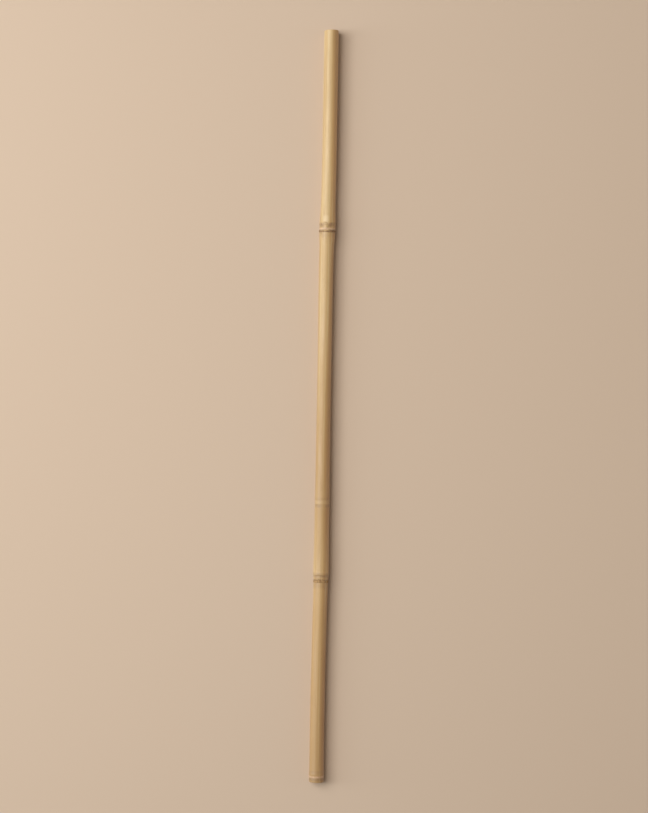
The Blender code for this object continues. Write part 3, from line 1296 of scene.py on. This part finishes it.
# %% The hollow
TORN_FIBRES = (1100.0, 60.0)
HOLLOW_PALE = colour(0.48, 0.34, 0.19)
HOLLOW_DARK = colour(0.30, 0.19, 0.095)
HOLLOW_ROUGHNESS = 0.85
HOLLOW_RELIEF = 0.00015
HOLLOW_RELIEF_STRENGTH = 0.8


def hollow_material():
    material, tree, shader = new_material("pith_hollow")
    fibres = cloud(tree, stretched(tree, *TORN_FIBRES), detail=3.0)
    tree.links.new(blend(tree, fibres, HOLLOW_PALE, HOLLOW_DARK), shader.inputs["Base Color"])
    shader.inputs["Roughness"].default_value = HOLLOW_ROUGHNESS
    relief(tree, shader, fibres, HOLLOW_RELIEF, HOLLOW_RELIEF_STRENGTH)
    return material


hollow_wall = hollow_material()
print(hollow_wall.name, "has", len(hollow_wall.node_tree.nodes), "nodes")

# %% [markdown]
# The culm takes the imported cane's place
#
# The materials go into the slots in the order in which the faces were sorted. The measured numbers are
# stored at the corners, with two more: how high on the bud a corner lies, and how far out it is on the
# way from the axis to the skin. Edges that turn sharply, such as the rims of the cuts, are marked sharp,
# and all others are shaded smooth. The finished culm rides on the frame's body, in place of the packed
# solid.

# %% Finish the culm
SHARP_FROM = math.radians(35.0)

cane = finished_object(culm, "cane_culm", [skin, cut_wood, hollow_wall])
for number_name, numbers in culm_numbers.items():
    carry(cane.data, number_name, numbers)
carry(cane.data, "bud", bud_share(culm_place, culm_angle))
carry(cane.data, "outward", culm_radius / END_RADIUS)
cane.data.set_sharp_from_angle(angle=SHARP_FROM)
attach(cane, "root")
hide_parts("cane")
print("culm:", len(cane.data.polygons), "faces")

# %% [markdown]
# What is left of the sheaths
#
# A sheath doesn't break off clean. A brown, papery fringe stays on the scar, torn to different heights.
# It is a thin ring of its own: a small cross-section, thickest in its lower half and thin at its torn
# edge, is turned once round. Each corner of the section is listed as how far up it is, as a share of the
# fringe's height, and how far out from the skin, as a share of its thickness. The foot is sunk in the
# skin, so nothing shows below it.

# %% The fringe's section
FRINGE_SIDES = 240
OUT_SCALE = 0.1
FRINGE_SECTION = (
    (0.00, -1.5),
    (0.00, 0.10),
    (0.10, 0.60),
    (0.22, 0.85),
    (0.36, 0.95),
    (0.50, 1.00),
    (0.68, 0.92),
    (0.85, 0.80),
    (1.00, 0.45),
    (0.85, 0.10),
    (0.50, -0.30),
    (0.45, -1.5),
)


def turned_section():
    """The section as a ring of radius 1: y says how far up a corner is, its radius how far out."""
    bm = bmesh.new()
    verts = [bm.verts.new((1.0 + OUT_SCALE * out, up, 0.0)) for up, out in FRINGE_SECTION]
    for pair in zip(verts, verts[1:] + verts[:1]):
        bm.edges.new(pair)
    wire = bm.verts[:] + bm.edges[:]
    bmesh.ops.spin(bm, geom=wire, axis=(0, 1, 0), angle=2.0 * math.pi, steps=FRINGE_SIDES, use_merge=True)
    return bm


print("a fringe is turned in", FRINGE_SIDES, "steps from", len(FRINGE_SECTION), "corners")

# %% [markdown]
# Tearing it
#
# Two noises round the cane, a broad one and one with small teeth, say how much of the fringe is left at
# each angle. Where little is left it is thinner too. The dried sheath is stiff, so it doesn't follow the
# skin into a groove but stands out as far as the widest place below it. Under the cane the floor presses
# it in.

# %% The torn edge
TEAR_WAVES = 2.2
TEAR_TEETH = 14.0
WAVE_DEPTH = 0.85
TEETH_DEPTH = 0.45
MEAN_LEFT = 0.66
LEAST_LEFT = 0.15
BARE_UNDER_BUD = 0.80
THIN_SHARE = 0.35
SEED_SPREAD = 100.0
STEPS_BELOW = 12
LEAST_DOWN = 0.001


def torn_share(angle, node):
    """How much of the fringe is left at an angle; least of it under the bud."""
    seed = node.scar * SEED_SPREAD
    x, z = math.cos(angle), math.sin(angle)
    broad = noise.noise((TEAR_WAVES * x, TEAR_WAVES * z, seed))
    teeth = noise.noise((TEAR_TEETH * x, TEAR_TEETH * z, seed))
    bare = BARE_UNDER_BUD * float(bump(node.beside_bud(angle), BUD_HALF_WIDTH))
    return min(max(MEAN_LEFT + WAVE_DEPTH * broad + TEETH_DEPTH * teeth - bare, LEAST_LEFT), 1.0)


def widest_below(start, place, angle):
    """The widest the skin gets from the fringe's root up to a place."""
    return float(skin_radius(np.linspace(start, place, STEPS_BELOW), angle).max())


def floor_below(place, angle):
    """How far the floor is from the axis at an angle: very far where the angle doesn't point down."""
    down = max(-math.sin(angle), LEAST_DOWN)
    return float(axis_height(place)) / down


shares = [torn_share(math.radians(degree), LOWER_NODE) for degree in range(360)]
print("of the lower fringe", round(min(shares), 2), "to", round(max(shares), 2), "of its height is left")

# %% [markdown]
# Setting a fringe on a scar
#
# The turned section is read back corner by corner. Its y is how far up the corner is and its radius how
# far out, and both are turned into a real place on the culm, above the uneven scar of its node.

# %% Set it on the scar
def make_fringe(name, node, root, height, thickness, material):
    """A torn ring that starts at root above the scar and is height tall where all of it is left."""
    bm = turned_section()
    for vert in bm.verts:
        angle = math.atan2(vert.co.z, vert.co.x)
        up = vert.co.y
        out = (math.hypot(vert.co.x, vert.co.z) - 1.0) / OUT_SCALE
        left = torn_share(angle, node)
        start = node.scar + float(node.scar_shift(angle)) + root
        place = start + up * height * left
        thick = thickness * (THIN_SHARE + (1.0 - THIN_SHARE) * left)
        wall = min(widest_below(start, place, angle), floor_below(place, angle) - thick)
        vert.co = on_the_culm(np.array(place), np.array(wall + out * thick), angle)
    bmesh.ops.recalc_face_normals(bm, faces=bm.faces)
    for face in bm.faces:
        face.smooth = True
    fringe = finished_object(bm, name, [material])
    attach(fringe, "root")
    print(name, len(fringe.data.polygons), "faces")


print("helper: make_fringe")

# %% [markdown]
# The two fringes
#
# On the upper node the sheath is weathered and dark, and little more than a line of it is left. On the
# lower one it is lighter, and its band is up to 3.6 mm tall. Both are like dry paper: matt, with fibres
# that run along the cane.

# %% Fringes on two nodes
SHEATH_FIBRES = (1500.0, 160.0)
SHEATH_STREAKS = (0.35, 0.65)
SHEATH_ROUGHNESS = 0.75
SHEATH_RELIEF = 0.00008
SHEATH_RELIEF_STRENGTH = 0.8
SHEATH_THICKNESS = 0.00016
UPPER_ROOT = -0.0008
UPPER_HEIGHT = 0.0021
LOWER_ROOT = -0.0014
LOWER_HEIGHT = 0.0036


def sheath_material(name, dark, light):
    material, tree, shader = new_material(name)
    fibres = cloud(tree, stretched(tree, *SHEATH_FIBRES), detail=3.0, roughness=0.6)
    tone = blend(tree, span(tree, fibres, *SHEATH_STREAKS), dark, light)
    tree.links.new(tone, shader.inputs["Base Color"])
    shader.inputs["Roughness"].default_value = SHEATH_ROUGHNESS
    relief(tree, shader, fibres, SHEATH_RELIEF, SHEATH_RELIEF_STRENGTH)
    return material


dark_sheath = sheath_material("weathered_sheath", colour(0.170, 0.090, 0.040), colour(0.36, 0.210, 0.098))
tan_sheath = sheath_material("dry_sheath", colour(0.270, 0.150, 0.060), colour(0.49, 0.310, 0.14))
make_fringe("upper_sheath_fringe", UPPER_NODE, UPPER_ROOT, UPPER_HEIGHT, SHEATH_THICKNESS, dark_sheath)
make_fringe("lower_sheath_fringe", LOWER_NODE, LOWER_ROOT, LOWER_HEIGHT, SHEATH_THICKNESS, tan_sheath)
